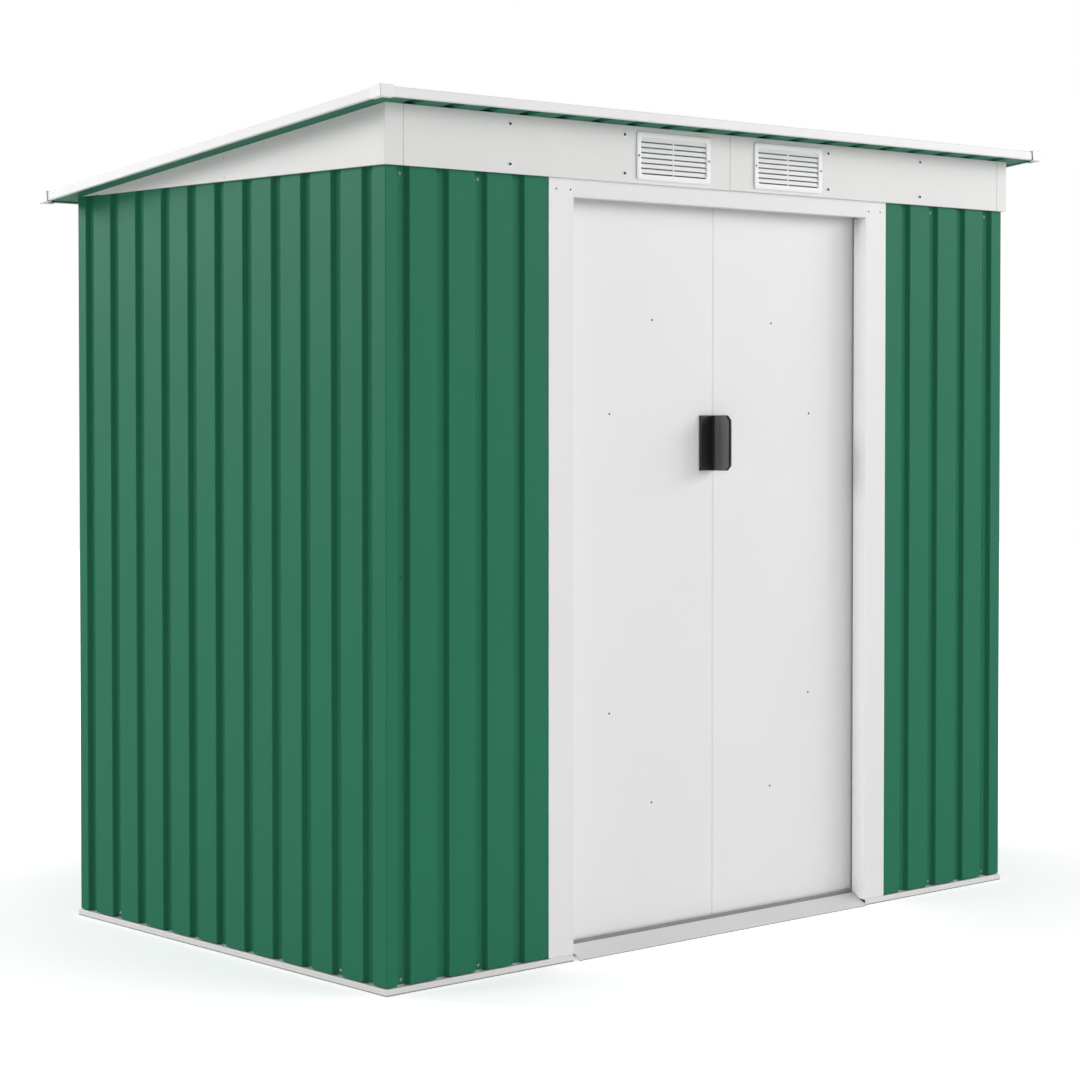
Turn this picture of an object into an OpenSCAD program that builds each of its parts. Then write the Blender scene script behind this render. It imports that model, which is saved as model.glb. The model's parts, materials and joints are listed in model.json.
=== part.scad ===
// Metal storage shed with a pent roof, ribbed steel walls and a pair of sliding doors.
// Front is -Y, +Z is up, and the origin is under the middle of the whole shed.

/* [Walls] */
// Width of the walls across the front
wall_w = 2000; // [1660:10:2400]
// Depth of the walls from front to back
wall_d = 1166; // [970:1:1400]
// Height of the level line where the walls meet the fascia and the gables
wall_h = 1707; // [1420:1:2050]
// Thickness of the ribbed sheets
sheet_t = 0.8; // [0.5:0.1:1]
// Gap between sheets that lap or touch
sheet_gap = 0.2; // [0.1:0.05:0.4]

/* [Ribbing] */
// Distance from one groove to the next
rib_pitch = 105.4; // [88:0.1:127]
// Width of a groove at its mouth
rib_mouth = 34.8; // [29:0.1:42]
// Depth of a groove
rib_depth = 10; // [8:0.5:12]
// Run of each sloping side of a groove
rib_slope = 7; // [5.5:0.5:8.5]
// First groove of the left front sheet, from the corner
first_front_left = 28.1; // [23:0.1:34]
// First groove of the right front sheet, from the corner
first_front_right = 38.3; // [31:0.1:46]
// First groove of the side sheets, from the front corner
first_side = 44.3; // [36:0.1:54]

/* [Base rail] */
// Height of the rail that the walls stand on
rail_h = 15; // [12:0.5:20]
// How far the rail stands out from the walls
rail_out = 4; // [3:0.5:6]
// Width of the rail's foot behind the wall line
rail_foot = 34; // [30:1:42]
// Height of the upright that the sheets are screwed to
rail_up = 45; // [38:1:54]
// Thickness of rails, tracks and door frame
bar_t = 1.2; // [1:0.1:1.4]

/* [Doorway] */
// Clear width between the jambs
door_open_w = 960; // [800:10:1150]
// Width of a jamb's face
jamb_w = 72; // [60:1:86]
// Height of the header's lower edge
header_z = 1668; // [1385:1:2000]
// Depth of the jamb's return into the doorway
jamb_return = 22; // [18:1:24]
// Half width of the threshold ramp
ramp_half = 467.5; // [390:0.5:560]
// Height of the ramp's crest
ramp_h = 28.5; // [24:0.5:34]

/* [Doors] */
// Distance of the doors' faces behind the wall line
door_y = 46; // [44:1:52]
// Depth of the folded edges of a door
door_fold = 16; // [14:1:18]
// Overlap of a door behind its jamb
door_lap = 25; // [20:1:30]
// Gap between the two doors
door_gap = 5; // [5:0.5:6]
// Clearance between moving and fixed pieces
run_gap = 5.2; // [5:0.1:6]
// Running clearance of the nylon glides on the tracks
glide_gap = 0.3; // [0.2:0.05:0.4]

/* [Handles] */
// Length of a handle
handle_l = 127; // [105:1:150]
// Height of the middle of the handles
handle_z = 1128.5; // [950:0.5:1350]
// Width of the handle's flange on the door
handle_w = 41; // [34:1:49]
// Reach of the handle's ear in front of the door
handle_reach = 56; // [47:1:66]

/* [Fascia] */
// Height of the fascia
fascia_h = 126; // [105:1:150]
// How far fascia and gables stand out from the walls
fascia_out = 9; // [7:0.5:11]
// Width of the gable's return round the front corner on the right
gable_wrap = 37.5; // [31:0.5:44]
// Lap of the two fascia sheets at the middle
fascia_lap = 11; // [9:0.5:13]

/* [Vents] */
// Width of a vent
vent_w = 231.5; // [193:0.5:277]
// Height of a vent
vent_h = 107; // [90:0.5:116]
// Width of the vent's rim
vent_rim = 13; // [11:0.5:15]
// Distance of a vent's middle from the outer end of its fascia sheet
vent_place = 777.5; // [700:0.5:820]
// Number of blades in a vent
vent_blades = 7; // [6:1:8]

/* [Roof] */
// Overhang in front of the wall line
roof_front = 71; // [60:1:85]
// Overhang behind the rear wall
roof_rear = 55.2; // [46:0.1:66]
// Overhang on each side
roof_side = 68; // [57:1:82]
// Distance from the rear corner to the point where a gable runs out
gable_end = 21; // [18:1:40]
// Height of the edge trims
trim_h = 20.5; // [18:0.5:24]
// How far the trims hang below the sheets
trim_drop = 3; // [2.5:0.5:4]
// Length of a corner cap's legs
cap_leg = 32; // [27:1:38]
// How far a corner cap stands out round the trims
cap_out = 2.5; // [2:0.5:3]

/* [Hidden] */
$fn = 32;

green = [0.20, 0.46, 0.36];
white = [0.91, 0.91, 0.90];
zinc = [0.72, 0.73, 0.74];
black = [0.10, 0.10, 0.11];
nylon = [0.88, 0.88, 0.86];

half_w = wall_w / 2;
roof_pitch = atan(fascia_h / (wall_d - gable_end));
roof_w = wall_w + 2 * roof_side;
roof_run = (wall_d + roof_front + roof_rear) / cos(roof_pitch);
// Inner faces of lapped grooves, and the plane that rails stand on behind them
tuck_depth = rib_depth + sheet_t + sheet_gap;
rail_in = tuck_depth + sheet_t + sheet_gap;

// The roof's own frame lies on the underside of its sheets, at mid run
cap_low = -(trim_drop + cap_out);
cap_high = trim_h - trim_drop + cap_out;
roof_y = -(cap_low + cap_high) / 2 * sin(roof_pitch);
front_y = roof_y - roof_run / 2 * cos(roof_pitch) - trim_drop * sin(roof_pitch) + roof_front;
fascia_top = wall_h + fascia_h;
roof_z = fascia_top + (front_y - fascia_out - roof_y) * tan(roof_pitch);
roof_half = roof_w / 2;
run_half = roof_run / 2;
roof_sheets = 4;
sheet_half = roof_half - bar_t - sheet_gap;
vent_z = wall_h + fascia_h / 2 - 1.5;
beam_h = 38;
beam_w = 20;
beam_y = wall_d / 2 - 27;
roof_rail_z = fascia_top - 36;
roof_rail_back = 22;

// Heights of the sheets and rails
sheet_foot = rail_h + 2.5;
front_top = wall_h + 35;
side_top = wall_h + 18;
track_top_z = wall_h - 3;
top_rail_z = wall_h - 7;
mid_rail_z = wall_h / 2 + 20;
rail_t = 1;
rail_leg = 28;
rail_flange = 32;
rail_spare = 2;

// Doorway
jamb_x = door_open_w / 2;
frame_x = jamb_x + jamb_w;
jamb_cover = 20;
front_sheet_w = half_w - frame_x + jamb_cover;
track_half = half_w - 50;
post_back = door_y - run_gap;
post_depth = 40;
post_set = 3;
guide_y = door_y + 30;
track_back = door_y + 46;

// Doors
door_x0 = door_gap / 2;
door_x1 = jamb_x + door_lap;
door_foot = 24;
door_head = track_top_z - bar_t - 9;
edge_fold = 6;
brace_w = 30;
brace_depth = 8;
brace_inner = 48;
brace_outer = 25;
brace_mid = 91;
glide_back = guide_y + 8;
guide_top = 34;
hook_z = door_head - 14;
glide_w = 40;
glide_set = 60;

// Handles
ear_t = 2.9;
flange_t = 3;
flange_rim = 2.5;
grip_proud = 0.9;
grip_front = 18;
grip_crease = 9;
grip_back = 23;
grip_cut = 8;
ear_x = door_x0 + 0.2;
ear_chamfer = 11;

// Grooves of a wall or roof, counted so that the last one keeps clear of the far end
function groove_count(first, length, end) = floor((length - first - rib_mouth - end) / rib_pitch) + 1;
function groove_at(first, i) = first + i * rib_pitch;
// Grooves centred on a length, clear of its ends by a margin
function centred_count(length, margin) = groove_count(margin, length, margin);
function centred_first(length, count) = (length - (count - 1) * rib_pitch - rib_mouth) / 2;

// Points of one whole groove, and of the halves where two sheets lap in it
lap_over = 4;
lap_under = 5;
function groove(g) = [[g, 0], [g + rib_slope, rib_depth],
    [g + rib_mouth - rib_slope, rib_depth], [g + rib_mouth, 0]];
function over_end(g) = [[g, 0], [g + rib_slope, rib_depth], [g + rib_mouth / 2 + lap_over, rib_depth]];
function tuck_end(g) = [[g, 0], [g + rib_slope, tuck_depth], [g + rib_mouth / 2 + lap_under, tuck_depth]];
function tuck_start(g) = [[g + rib_mouth / 2 - lap_under, tuck_depth],
    [g + rib_mouth - rib_slope, tuck_depth], [g + rib_mouth, 0]];
// Grooves number a to b after the first one
function grooves(first, a, b) = [for (i = [a : 1 : b]) each groove(groove_at(first, i))];
// Closed outline of a sheet that follows a path
function outline(path) = concat(path, [for (p = backwards(path)) p + [0, sheet_t]]);
function backwards(list) = [for (i = [len(list) - 1 : -1 : 0]) list[i]];
// Closed outline of a sheet bent round a corner, one path along each wall
function bent_outline(side, round) = concat(backwards(round), [[0, 0]],
    [for (p = side) [p[1], p[0]]], [for (p = backwards(side)) [p[1] + sheet_t, p[0]]],
    [[sheet_t, sheet_t]], [for (p = round) p + [0, sheet_t]]);

wall_margin = 30;
roof_margin = 60;
side_count = groove_count(first_side, wall_d, wall_margin);
side_lap = floor(side_count / 2);
first_side_rear = wall_d - groove_at(first_side, side_count - 1) - rib_mouth;
rear_count = centred_count(wall_w, wall_margin);
rear_lap = floor(rear_count / 2);
first_rear = centred_first(wall_w, rear_count);
roof_count = centred_count(2 * sheet_half, roof_margin);
first_roof = centred_first(2 * sheet_half, roof_count);

module on_roof() {
    translate([0, roof_y, roof_z]) rotate([-roof_pitch, 0, 0]) children();
}

module under_roof(gap) {
    intersection() {
        children();
        on_roof() translate([-roof_w, -roof_run, -2 * wall_h - gap])
            cube([2 * roof_w, 2 * roof_run, 2 * wall_h]);
    }
}

module right_half(right) {
    mirror([right ? 1 : 0, 0, 0]) children();
}

// Box between two opposite corners
module block(low, high) {
    translate(low) cube(high - low);
}

// ---- Base rails

rail_profile = [[-rail_out, 0], [rail_foot, 0], [rail_foot, rail_t], [rail_t - rail_out, rail_t],
    [rail_t - rail_out, rail_h - rail_t], [rail_in + rail_t, rail_h - rail_t], [rail_in + rail_t, rail_up],
    [rail_in, rail_up], [rail_in, rail_h], [-rail_out, rail_h]];
mitre_gap = 0.1;

// Rail along +X from the outer corner of a wall of this length, mitred at the ends asked for
module base_rail(length, mitre_start, mitre_end) {
    depth = rail_foot + rail_out;
    cut_a = mitre_start ? depth : 0;
    cut_b = mitre_end ? depth : 0;
    reach_a = mitre_start ? rail_out : 0;
    reach_b = mitre_end ? rail_out : 0;
    intersection() {
        translate([-reach_a, 0, 0]) rotate([90, 0, 90])
            linear_extrude(length + reach_a + reach_b) polygon(rail_profile);
        linear_extrude(2 * rail_up) polygon([
            [mitre_gap - reach_a, -rail_out], [length + reach_b - mitre_gap, -rail_out],
            [length + reach_b - cut_b - mitre_gap, rail_foot], [cut_a - reach_a + mitre_gap, rail_foot]]);
    }
}

module base_rail_front() {
    length = half_w - jamb_x - bar_t - sheet_gap;
    color(white) for (right = [false, true])
        right_half(right) translate([-half_w, front_y, 0]) base_rail(length, true, false);
}
module base_rail_rear() {
    color(white) translate([half_w, front_y + wall_d, 0]) rotate([0, 0, 180]) base_rail(wall_w, true, true);
}
module base_rail_side(right) {
    color(white) right_half(right) translate([-half_w, front_y + wall_d, 0])
        rotate([0, 0, -90]) base_rail(wall_d, true, true);
}

// ---- Walls

module upright_sheet(top) {
    translate([0, 0, sheet_foot]) linear_extrude(top - sheet_foot) children();
}

// A side sheet bent round a corner: it lies in the first groove of the wall round the corner
module corner_sheet(side_path, first_round) {
    upright_sheet(side_top) polygon(bent_outline(side_path, over_end(first_round)));
}

module side_panel_front(right) {
    path = concat(grooves(first_side, 0, side_lap - 1), over_end(groove_at(first_side, side_lap)));
    first = right ? first_front_right : first_front_left;
    color(green) under_roof(sheet_gap) right_half(right)
        translate([-half_w, front_y, 0]) corner_sheet(path, first);
}
module side_panel_rear(right) {
    last = side_count - 1 - side_lap;
    path = concat(grooves(first_side_rear, 0, last - 1), tuck_end(groove_at(first_side_rear, last)));
    color(green) under_roof(sheet_gap) right_half(right)
        translate([-half_w, front_y + wall_d, 0]) mirror([0, 1, 0]) corner_sheet(path, first_rear);
}
module front_panel(right) {
    first = right ? first_front_right : first_front_left;
    last = groove_count(first, front_sheet_w - jamb_cover, jamb_cover) - 1;
    path = concat(tuck_start(first), grooves(first, 1, last), [[front_sheet_w, 0]]);
    color(green) right_half(right) translate([-half_w, front_y, 0])
        upright_sheet(front_top) polygon(outline(path));
}
module rear_panel(right) {
    last = right ? rear_count - 1 - rear_lap : rear_lap;
    lap = groove_at(first_rear, last);
    path = concat(tuck_start(first_rear), grooves(first_rear, 1, last - 1),
        right ? tuck_end(lap) : over_end(lap));
    color(green) under_roof(sheet_gap) right_half(right) translate([-half_w, front_y + wall_d, 0])
        mirror([0, 1, 0]) upright_sheet(side_top) polygon(outline(path));
}

// ---- Rails inside the walls

// Angle with an upright leg on the plane y = 0 and a flange on top, along +X
module angle_rail(length, top) {
    block([0, 0, top - rail_leg], [length, bar_t, top]);
    block([0, 0, top - bar_t], [length, rail_flange, top]);
}

module front_rails() {
    head_low = track_top_z + sheet_gap;
    length = wall_w - 2 * (rail_in + sheet_gap);
    fascia_back = 2 * (sheet_t + sheet_gap) - fascia_out;
    color(zinc) translate([-length / 2, front_y, 0]) {
        block([0, rail_in, head_low], [length, rail_in + bar_t, front_top]);
        block([0, rail_in, head_low], [length, rail_in + rail_flange, head_low + bar_t]);
        block([0, fascia_back, roof_rail_z], [length, fascia_back + bar_t, roof_rail_z + rail_leg]);
        block([0, fascia_back, roof_rail_z], [length, roof_rail_back, roof_rail_z + bar_t]);
    }
}
module side_rails(right) {
    start = rail_in + rail_flange + rail_spare;
    length = wall_d - 2 * start;
    color(zinc) right_half(right) translate([-half_w + rail_in, front_y + start + length, 0])
        rotate([0, 0, -90]) {
            angle_rail(length, top_rail_z);
            angle_rail(length, mid_rail_z);
        }
}
module rear_rails() {
    length = wall_w - 2 * (rail_in + sheet_gap);
    color(zinc) translate([length / 2, front_y + wall_d - rail_in, 0]) rotate([0, 0, 180]) {
        angle_rail(length, top_rail_z);
        angle_rail(length, mid_rail_z);
    }
}

// ---- Doorway

module door_jamb(right) {
    foot = rail_h + sheet_gap;
    face_y = -sheet_gap - bar_t;
    post_y = jamb_return + sheet_gap;
    color(white) right_half(right) translate([0, front_y, 0]) {
        block([-frame_x, face_y, foot], [-jamb_x, -sheet_gap, front_top]);
        block([-jamb_x - bar_t, face_y, foot], [-jamb_x, jamb_return, track_top_z - 1]);
        translate([-jamb_x - post_set, 0, 1 + sheet_gap]) {
            height = header_z - 2;
            block([-bar_t, post_y, 0], [0, post_back, height]);
            block([-post_depth, post_y, 0], [0, post_y + bar_t, height]);
            block([-post_depth, post_back - bar_t, 0], [0, post_back, height]);
        }
    }
}
module door_header() {
    half = jamb_x - sheet_gap;
    face_y = -sheet_gap - bar_t;
    color(white) translate([0, front_y, 0]) {
        block([-half, face_y, header_z], [half, -sheet_gap, front_top]);
        block([-half, face_y, header_z], [half, jamb_return, header_z + bar_t]);
    }
}
// Hollow ramp over the threshold, in one piece with the lower guide for the doors
module door_sill() {
    nose = fascia_out + 0.5;
    lip_y = post_back - bar_t;
    ramp = [[-nose, 0], [-nose, 3], [lip_y - 4, ramp_h], [lip_y + 0.1, ramp_h], [lip_y + 0.1, ramp_h - bar_t],
        [lip_y - 3.6, ramp_h - bar_t], [bar_t - nose, 2.3], [bar_t - nose, 0]];
    color(white) translate([0, front_y, 0]) {
        translate([-ramp_half, 0, 0]) rotate([90, 0, 90]) linear_extrude(2 * ramp_half) polygon(ramp);
        block([-ramp_half, lip_y, 0], [ramp_half, post_back, ramp_h + 6.5]);
        block([-track_half, rail_foot + sheet_gap, 0], [track_half, glide_back + 6, 1]);
        block([-track_half, guide_y, 0], [track_half, guide_y + bar_t, guide_top]);
    }
}
// Upper track: an upturned lip carries the doors' glides
module door_track_top() {
    web_y = jamb_return + sheet_gap;
    tray = hook_z - 16;
    color(zinc) translate([0, front_y, 0]) {
        block([-track_half, web_y, header_z], [track_half, web_y + bar_t, track_top_z]);
        block([-track_half, web_y, track_top_z - bar_t], [track_half, track_back, track_top_z]);
        block([-track_half, track_back - bar_t, tray], [track_half, track_back, track_top_z]);
        block([-track_half, guide_y, tray], [track_half, track_back, tray + bar_t]);
        block([-track_half, guide_y, tray], [track_half, guide_y + bar_t, hook_z]);
    }
}

// ---- Doors

module door_panel(right) {
    back = door_y + door_fold;
    color(white) right_half(right) translate([0, front_y, 0]) {
        block([-door_x1, door_y, door_foot], [-door_x0, door_y + sheet_t, door_head]);
        block([-door_x1, door_y, door_foot], [-door_x0, back, door_foot + sheet_t]);
        block([-door_x1, door_y, door_head - sheet_t], [-door_x0, back, door_head]);
        block([-door_x1, door_y, door_foot], [sheet_t - door_x1, back, door_head]);
        block([-door_x0 - sheet_t, door_y, door_foot], [-door_x0, door_y + edge_fold, door_head]);
    }
}
// Two diagonal braces behind a door, from its inner corners to the middle of its outer edge
module door_braces(right) {
    mid = (door_foot + door_head) / 2;
    run = door_x1 - brace_outer - brace_inner;
    rise = (door_head - door_foot) / 2 - brace_inner - brace_mid;
    length = norm([run, rise]);
    tilt = atan2(rise, run);
    color(zinc) right_half(right) for (up = [1, -1])
        translate([-brace_inner - run, front_y + door_y + sheet_t + sheet_gap, mid + up * brace_mid])
            rotate([0, -up * tilt, 0]) difference() {
                block([0, 0, -brace_w / 2], [length, brace_depth, brace_w / 2]);
                block([-1, -1, 1 - brace_w / 2], [length + 1, brace_depth - 1, brace_w / 2 - 1]);
            }
}
module door_handle(right) {
    back = door_y - sheet_gap;
    tip = door_y - handle_reach;
    ear_left = -ear_x - ear_t;
    flange_left = -ear_x - handle_w;
    half = handle_l / 2;
    crease = tip + grip_front;
    grip = crease + grip_crease;
    grip_end = grip + grip_back;
    cut_tip = [[tip, half - ear_chamfer], [tip, ear_chamfer - half], [tip + ear_chamfer, -half]];
    color(black) right_half(right) translate([0, front_y, handle_z]) {
        block([flange_left, back - flange_t, -half], [ear_left + 1, back, half]);
        block([flange_left, back - flange_t - flange_rim, -half], [flange_left + 3, back, half]);
        translate([ear_left, 0, 0]) rotate([90, 0, 90]) {
            translate([0, 0, grip_proud]) linear_extrude(ear_t - grip_proud)
                polygon(concat([[back, -half], [back, half], [tip + ear_chamfer, half]], cut_tip));
            // Two raised grips with a crease between them
            linear_extrude(1)
                polygon(concat([[crease, -half], [crease, half], [tip + ear_chamfer, half]], cut_tip));
            linear_extrude(1) polygon([[grip, -half], [grip_end - grip_cut, -half],
                [grip_end, grip_cut - half], [grip_end, half - grip_cut],
                [grip_end - grip_cut, half], [grip, half]]);
        }
    }
}
// Nylon blocks hooked over the track lips, two at the head and two at the foot of a door
module door_glides(right) {
    front = door_y + sheet_t + sheet_gap;
    slot_y = guide_y - glide_gap;
    slot_end = guide_y + bar_t + glide_gap;
    head = door_head - sheet_t - sheet_gap;
    foot = door_foot + sheet_t + sheet_gap;
    color(nylon) right_half(right) translate([0, front_y, 0])
        for (x = [-door_x0 - glide_set - glide_w, glide_set - door_x1]) {
            difference() {
                block([x, front, hook_z - 10], [x + glide_w, glide_back, head]);
                block([x - 1, slot_y, hook_z - 11], [x + glide_w + 1, slot_end, hook_z + glide_gap]);
            }
            difference() {
                block([x, front, foot], [x + glide_w, glide_back, guide_top + 8]);
                block([x - 1, slot_y, foot - 1], [x + glide_w + 1, slot_end, guide_top + 2]);
            }
        }
}

// ---- Fascia, gables and vents

// End of a fascia sheet at the gable's return, from the middle of the front
function fascia_end(right) = half_w + fascia_out - gable_wrap - (right ? 0 : fascia_lap);

module fascia(right) {
    inner = sheet_t - fascia_out;
    outer_end = fascia_end(right) - sheet_gap / 2;
    vent_x = fascia_end(right) - vent_place;
    color(white) under_roof(sheet_gap) right_half(right) translate([0, front_y, 0]) difference() {
        union() {
            block([-outer_end, -fascia_out, wall_h], [-0.05, inner, fascia_top + 1]);
            block([-outer_end, -fascia_out, wall_h], [-0.05, -bar_t - 2 * sheet_gap, wall_h + sheet_t]);
            block([-outer_end, -fascia_out, fascia_top - 5], [-0.05, 4, fascia_top - 5 + sheet_t]);
            if (!right) {
                joggle = inner + sheet_gap + sheet_t;
                block([-10, inner - 0.1, wall_h + 2], [-0.05, joggle, fascia_top - 6]);
                block([-10, inner + sheet_gap, wall_h + 2], [fascia_lap, joggle, fascia_top - 6]);
            }
        }
        translate([-vent_x, -fascia_out, vent_z])
            cube([vent_w - vent_rim, 10, vent_h - vent_rim], center = true);
    }
}
gable_lip_stop = 80;
module gable(right) {
    wrap = gable_wrap + (right ? 0 : fascia_lap);
    length = fascia_h / tan(roof_pitch);
    x0 = -half_w - fascia_out;
    color(white) under_roof(sheet_gap) right_half(right) translate([0, front_y, 0]) {
        block([x0, -fascia_out, wall_h], [x0 + sheet_t, length - fascia_out, fascia_top + 1]);
        block([x0, -fascia_out, wall_h], [-half_w - sheet_gap, length - gable_lip_stop, wall_h + sheet_t]);
        block([x0, -fascia_out, wall_h], [x0 + wrap, sheet_t - fascia_out, fascia_top + 1]);
        block([x0, -fascia_out, wall_h], [x0 + wrap, -bar_t - 2 * sheet_gap, wall_h + sheet_t]);
    }
}

module rounded_plate(w, h, r) {
    square([w - 2 * r, h], center = true);
    square([w, h - 2 * r], center = true);
    for (x = [-1, 1], y = [-1, 1]) translate([x * (w / 2 - r), y * (h / 2 - r)]) circle(r);
}
module vent(right) {
    vent_x = fascia_end(right) - vent_place;
    open_w = vent_w - 2 * vent_rim;
    open_h = vent_h - 2 * vent_rim;
    step = open_h / vent_blades;
    color(white) right_half(right)
        translate([-vent_x, front_y - fascia_out - sheet_gap, vent_z]) {
            rotate([90, 0, 0]) linear_extrude(3) difference() {
                rounded_plate(vent_w, vent_h, 8);
                rounded_plate(open_w, open_h, 5);
            }
            block([-2.5, -2.4, -open_h / 2 - 1], [2.5, -0.4, open_h / 2 + 1]);
            for (i = [0 : vent_blades - 1])
                translate([0, -1.6, open_h / 2 - (i + 0.5) * step]) rotate([62, 0, 0])
                    cube([open_w + 2, step * 0.8, 1], center = true);
        }
}

// ---- Roof

module roof_beam() {
    u = (front_y + beam_y - roof_y) / cos(roof_pitch);
    half = half_w + fascia_out - sheet_t - sheet_gap;
    color(zinc) on_roof() translate([0, u, -beam_h - sheet_gap]) {
        block([-half, 0, 0], [half, bar_t, beam_h]);
        block([-half, 0, beam_h - bar_t], [half, beam_w, beam_h]);
        block([-half, 0, 0], [half, beam_w, bar_t]);
    }
}
// Roof sheets lap in their ribs, which are the walls' grooves turned upwards
module roof_panel(i) {
    lap_before = floor(i * roof_count / roof_sheets);
    lap_after = floor((i + 1) * roof_count / roof_sheets);
    begin = i == 0 ? [[0, 0]] : tuck_start(groove_at(first_roof, lap_before));
    end = i == roof_sheets - 1 ? [[2 * sheet_half, 0]] : over_end(groove_at(first_roof, lap_after));
    first = i == 0 ? 0 : lap_before + 1;
    last = i == roof_sheets - 1 ? roof_count - 1 : lap_after - 1;
    length = roof_run - 2 * (bar_t + sheet_gap);
    color(green) on_roof() translate([-sheet_half, length / 2, 0]) rotate([90, 0, 0])
        linear_extrude(length) polygon(outline(concat(begin, grooves(first_roof, first, last), end)));
}

// Trim profile: x inwards from the roof's edge, y up from the underside of the sheets
trim_lip = 9;
trim_cover = 20;
module trim_profile() {
    translate([0, -trim_drop]) {
        square([bar_t, trim_h]);
        square([trim_lip, bar_t]);
        translate([0, trim_h - bar_t]) square([trim_cover, bar_t]);
    }
}
module trim_bar(length) {
    rotate([90, 0, 0]) translate([0, 0, -length / 2]) linear_extrude(length) trim_profile();
}
module roof_trim_end(side) {
    color(white) on_roof() rotate([0, 0, side * 90]) translate([-run_half, 0, 0]) trim_bar(roof_w);
}
module roof_trim_side(right) {
    color(white) on_roof() rotate([0, 0, right ? 180 : 0]) translate([-roof_half, 0, 0])
        trim_bar(roof_run - 2 * (trim_cover + sheet_gap));
}
cap_open = 12;
module roof_corner_caps() {
    skin = cap_out - sheet_gap;
    leg = cap_leg + cap_out;
    color(white) on_roof() for (x = [0, 1], y = [0, 1])
        mirror([x, 0, 0]) mirror([0, y, 0]) translate([-roof_half - cap_out, -run_half - cap_out, cap_low])
            difference() {
                cube([leg, leg, cap_high - cap_low]);
                translate([skin, skin, skin]) cube([leg, leg, cap_high - cap_low - 2 * skin]);
                translate([cap_open, cap_open, -1]) cube([leg, leg, skin + 2]);
            }
}

base_rail_front();
base_rail_rear();
base_rail_side(false);  // base_rail_left
base_rail_side(true);  // base_rail_right
door_sill();
door_track_top();
side_panel_front(false);  // side_panel_left_front
side_panel_rear(false);  // side_panel_left_rear
side_panel_front(true);  // side_panel_right_front
side_panel_rear(true);  // side_panel_right_rear
front_panel(false);  // front_panel_left
front_panel(true);  // front_panel_right
rear_panel(false);  // rear_panel_left
rear_panel(true);  // rear_panel_right
door_jamb(false);  // door_jamb_left
door_jamb(true);  // door_jamb_right
door_header();
front_rails();
side_rails(false);  // side_rails_left
side_rails(true);  // side_rails_right
rear_rails();
fascia(false);  // fascia_left
fascia(true);  // fascia_right
gable(false);  // gable_left
gable(true);  // gable_right
vent(false);  // vent_left
vent(true);  // vent_right
roof_beam();
roof_panel(0);  // roof_panel_1
roof_panel(1);  // roof_panel_2
roof_panel(2);  // roof_panel_3
roof_panel(3);  // roof_panel_4
roof_trim_end(1);  // roof_trim_front
roof_trim_end(-1);  // roof_trim_rear
roof_trim_side(false);  // roof_trim_left
roof_trim_side(true);  // roof_trim_right
roof_corner_caps();
door_panel(false);  // door_panel_left
door_panel(true);  // door_panel_right
door_braces(false);  // door_braces_left
door_braces(true);  // door_braces_right
door_handle(false);  // door_handle_left
door_handle(true);  // door_handle_right
door_glides(false);  // door_glides_left
door_glides(true);  // door_glides_right
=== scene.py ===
import json
from math import atan2, cos, pi, radians, sin

import bmesh
import bpy
from mathutils import Matrix, Vector

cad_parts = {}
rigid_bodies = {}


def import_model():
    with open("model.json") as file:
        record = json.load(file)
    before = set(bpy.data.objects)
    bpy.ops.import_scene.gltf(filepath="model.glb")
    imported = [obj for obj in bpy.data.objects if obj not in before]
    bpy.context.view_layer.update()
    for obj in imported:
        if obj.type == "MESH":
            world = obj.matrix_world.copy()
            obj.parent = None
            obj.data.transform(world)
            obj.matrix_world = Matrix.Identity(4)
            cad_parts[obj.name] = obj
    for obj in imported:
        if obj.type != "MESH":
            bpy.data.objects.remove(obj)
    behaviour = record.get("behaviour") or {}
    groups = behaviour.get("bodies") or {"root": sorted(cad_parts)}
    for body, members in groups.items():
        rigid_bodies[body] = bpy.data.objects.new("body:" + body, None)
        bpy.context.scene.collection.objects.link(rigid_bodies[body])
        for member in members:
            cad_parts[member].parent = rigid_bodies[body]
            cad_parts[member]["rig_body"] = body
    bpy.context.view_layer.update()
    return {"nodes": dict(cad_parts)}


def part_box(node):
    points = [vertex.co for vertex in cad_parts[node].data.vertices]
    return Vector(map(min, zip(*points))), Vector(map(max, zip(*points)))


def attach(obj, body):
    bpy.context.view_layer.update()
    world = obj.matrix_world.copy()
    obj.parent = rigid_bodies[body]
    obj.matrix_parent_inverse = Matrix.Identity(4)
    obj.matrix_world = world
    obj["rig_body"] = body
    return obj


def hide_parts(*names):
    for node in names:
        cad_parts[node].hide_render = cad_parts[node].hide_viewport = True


mm = 0.001
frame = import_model()
nodes = frame["nodes"]
print("frame loaded:", len(nodes), "nodes")

# Camera at the front left corner, a little below the eaves
cameraSettings = {
    "lens": 87.88,
    "place": (-4.366, -4.797, 1.2195),
    "lookDown": 1.47,
    "turn": -41.916,
    "shiftUp": -0.0638,
}
cameraData = bpy.data.cameras.new("shedCamera")
cameraData.lens = cameraSettings["lens"]
cameraData.shift_y = cameraSettings["shiftUp"]
camera = bpy.data.objects.new("shedCamera", cameraData)
camera.location = cameraSettings["place"]
camera.rotation_euler = (radians(90 - cameraSettings["lookDown"]), 0, radians(cameraSettings["turn"]))
bpy.context.scene.collection.objects.link(camera)
bpy.context.scene.camera = camera
bpy.context.scene.view_settings.view_transform = "Standard"

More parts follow.
